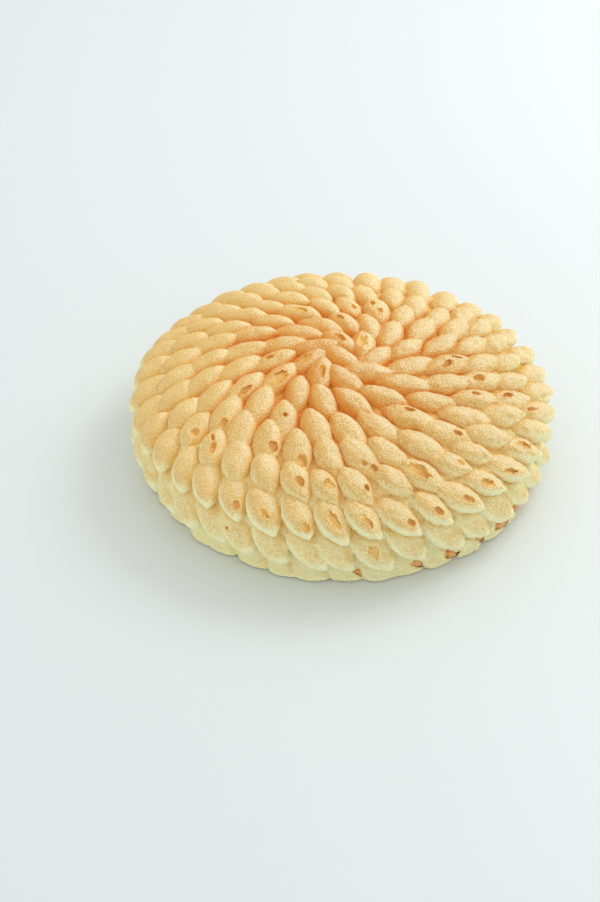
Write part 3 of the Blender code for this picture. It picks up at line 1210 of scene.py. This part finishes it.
        # Painted shade on slopes turned from the light, painted highlight on those turned to it
        upper = nodes.math("ADD", light_facing, nodes.remap(crumb, self.light_facing_grain))
        shaded = nodes.math("MULTIPLY", nodes.remap(upper, self.shaded), warmth)
        sprayed = nodes.blend(shaded, sprayed, painted_shade)
        sprayed = nodes.blend(nodes.remap(upper, self.highlighted), sprayed, paint(self.painted_highlight))
        colour = nodes.blend(cover, paint(self.bare), sprayed)

        # Painted shade in the valleys, kept off the lips and hollows
        depth = nodes.remap(near, self.closed)
        for marked in (lip, hollow):
            depth = nodes.math("MULTIPLY", depth, nodes.remap(marked, self.crease_shade_kept))
        colour = nodes.blend(depth, colour, painted_shade)
        # Pale unsprayed lips with a painted rim highlight
        pale = nodes.math("MULTIPLY", lip, self.lip_share)
        colour = nodes.blend(pale, colour, paint(self.lip_bare_and_highlight))
        # Painted shade deeper in the hollows
        deep = nodes.remap(near, self.hollow_shade)
        inside = nodes.blend(deep, paint(self.inside), paint(self.hollow_painted_shade))
        colour = nodes.blend(nodes.math("MULTIPLY", hollow, self.hollow_share), colour, inside)

        # Painted crumb light and shade, on the sprayed skin only
        light = nodes.math("MULTIPLY", nodes.remap(crumb, self.crumb_light_and_shade), cover)
        light = nodes.math("ADD", light, nodes.math("SUBTRACT", 1.0, cover))
        grey = nodes.add("CombineColor", {0: light, 1: light, 2: light}).outputs[0]
        height = nodes.math("MULTIPLY", crumb, nodes.remap(rough, self.crumb_rise))
        bump = {"Strength": 1.0, "Distance": self.crumb_depth, "Height": height}
        nodes.shade({
            "Base Color": nodes.blend(1.0, colour, grey, "MULTIPLY"),
            "Normal": nodes.add("Bump", bump).outputs[0],
            "Roughness": nodes.remap(speckle, self.roughness),
            "Specular IOR Level": self.specular,
        })
        return material


@dataclass(frozen=True)
class CrustFinish:
    """Baked crumb, golden outside and dark in its holes."""

    grain: bpy.types.NodeTree
    golden: Colour = (246, 200, 132)
    toasted: Colour = (238, 160, 78)
    hole: Colour = (176, 108, 48)
    patch_scale: float = 240.0
    patch: Ramp = (0.35, 0.65, 0.0, 1.0)
    hole_depth: Ramp = (0.25, 0.8, 0.0, 1.0)
    crumb_scale: float = 1100.0
    drift_share: float = 0.4
    crumb_depth: float = 0.0003
    bump_strength: float = 0.9
    roughness: Ramp = (0.0, 1.0, 0.7, 0.95)

    def material(self) -> bpy.types.Material:
        """Returns the material."""
        material, nodes = new_material("baked_crust_skin")
        patch = nodes.remap(nodes.cloud(self.patch_scale, 3.0), self.patch)
        scales = {"Crumb Scale": self.crumb_scale, "Drift Share": self.drift_share}
        grain = nodes.add("Group", scales, node_tree=self.grain).outputs
        colour = nodes.blend(patch, paint(self.golden), paint(self.toasted))
        depth = nodes.remap(nodes.value_of("crumb_depth"), self.hole_depth)
        bump = {
            "Strength": self.bump_strength, "Distance": self.crumb_depth,
            "Height": grain["Height"],
        }
        nodes.shade({
            "Base Color": nodes.blend(depth, colour, paint(self.hole)),
            "Normal": nodes.add("Bump", bump).outputs[0],
            "Roughness": nodes.remap(grain["Speckle"], self.roughness),
        })
        return material


@dataclass(frozen=True)
class Studio:
    """A plain pale floor, soft light from the back right, and the camera."""

    floor_width: float = 4.0
    floor_colour: Colour = (222, 229, 228)
    floor_drift_scale: float = 9.0
    floor_roughness: Ramp = (0.3, 0.7, 0.38, 0.46)
    camera_distance: float = 0.63
    camera_elevation_deg: float = 40.14
    camera_aim: Place = (-0.01728, -0.00657, 0.0)
    sensor_height: float = 36.0
    lens: float = 56.79
    key_place: Place = (0.60, 0.50, 0.70)
    key_size: float = 0.5
    key_power: float = 4.1
    sky_strength: float = 0.88

    def floor(self) -> None:
        """Lays the floor."""
        builder = bmesh.new()
        bmesh.ops.create_grid(builder, x_segments=2, y_segments=2, size=0.5 * self.floor_width)
        floor = new_object("floor", builder)
        material, nodes = new_material("pale_floor")
        drift = nodes.cloud(self.floor_drift_scale, 3.0)
        nodes.shade({
            "Base Color": paint(self.floor_colour),
            "Roughness": nodes.remap(drift, self.floor_roughness),
        })
        floor.data.materials.append(material)

    @staticmethod
    def put(name: str, data: bpy.types.ID, place: Vector, target: Vector) -> bpy.types.Object:
        """Puts a lamp or the camera at a place in the scene, turned towards a target."""
        thing = bpy.data.objects.new(name, data)
        bpy.context.scene.collection.objects.link(thing)
        thing.location = place
        thing.rotation_euler = (target - thing.location).to_track_quat("-Z", "Y").to_euler()
        return thing

    def camera(self) -> None:
        """Sets up the camera."""
        lens = bpy.data.cameras.new("camera")
        lens.sensor_fit = "VERTICAL"
        lens.sensor_height = self.sensor_height
        lens.lens = self.lens
        elevation = math.radians(self.camera_elevation_deg)
        place = self.camera_distance * Vector((0.0, -math.cos(elevation), math.sin(elevation)))
        bpy.context.scene.camera = self.put("camera", lens, place, Vector(self.camera_aim))

    def light(self) -> None:
        """Sets up the soft square window light and the bright room round it."""
        window = bpy.data.lights.new("window", "AREA")
        window.size = self.key_size
        window.energy = self.key_power
        self.put("window", window, Vector(self.key_place), Vector((0.0, 0.0, 0.0)))
        world = bpy.data.worlds.new("room")
        bpy.context.scene.world = world
        world.use_nodes = True
        background = world.node_tree.nodes["Background"]
        background.inputs["Color"].default_value = (1.0, 1.0, 1.0, 1.0)
        background.inputs["Strength"].default_value = self.sky_strength
        bpy.context.scene.view_settings.view_transform = "Standard"

    def build(self) -> None:
        """Sets up floor, light and camera."""
        self.floor()
        self.light()
        self.camera()


def dress(piece: bpy.types.Object, material: bpy.types.Material, node: str) -> None:
    """Gives a piece its finish and its place in the frame.

    Args:
        piece: The finished piece.
        material: Its material.
        node: The CAD node that it stands for.
    """
    piece.data.materials.clear()
    piece.data.materials.append(material)
    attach(piece, BODY)
    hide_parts(node)
    log.info("%s stands for %s: %d triangles", piece.name, node, triangle_count(piece))


def main() -> None:
    """Builds the cake and the studio round it."""
    logging.basicConfig(level=logging.INFO, format="%(message)s")
    grain = Grain().group()
    base = BakedBase()
    dress(base.build(), CrustFinish(grain).material(), "pastry_base")
    cream = PipedCream(base=base)
    finish = CreamFinish(grain, cream.piping.crest.cake_radius)
    dress(cream.build(), finish.material(), "piped_cream")
    Studio().build()


if __name__ == "__main__":
    main()
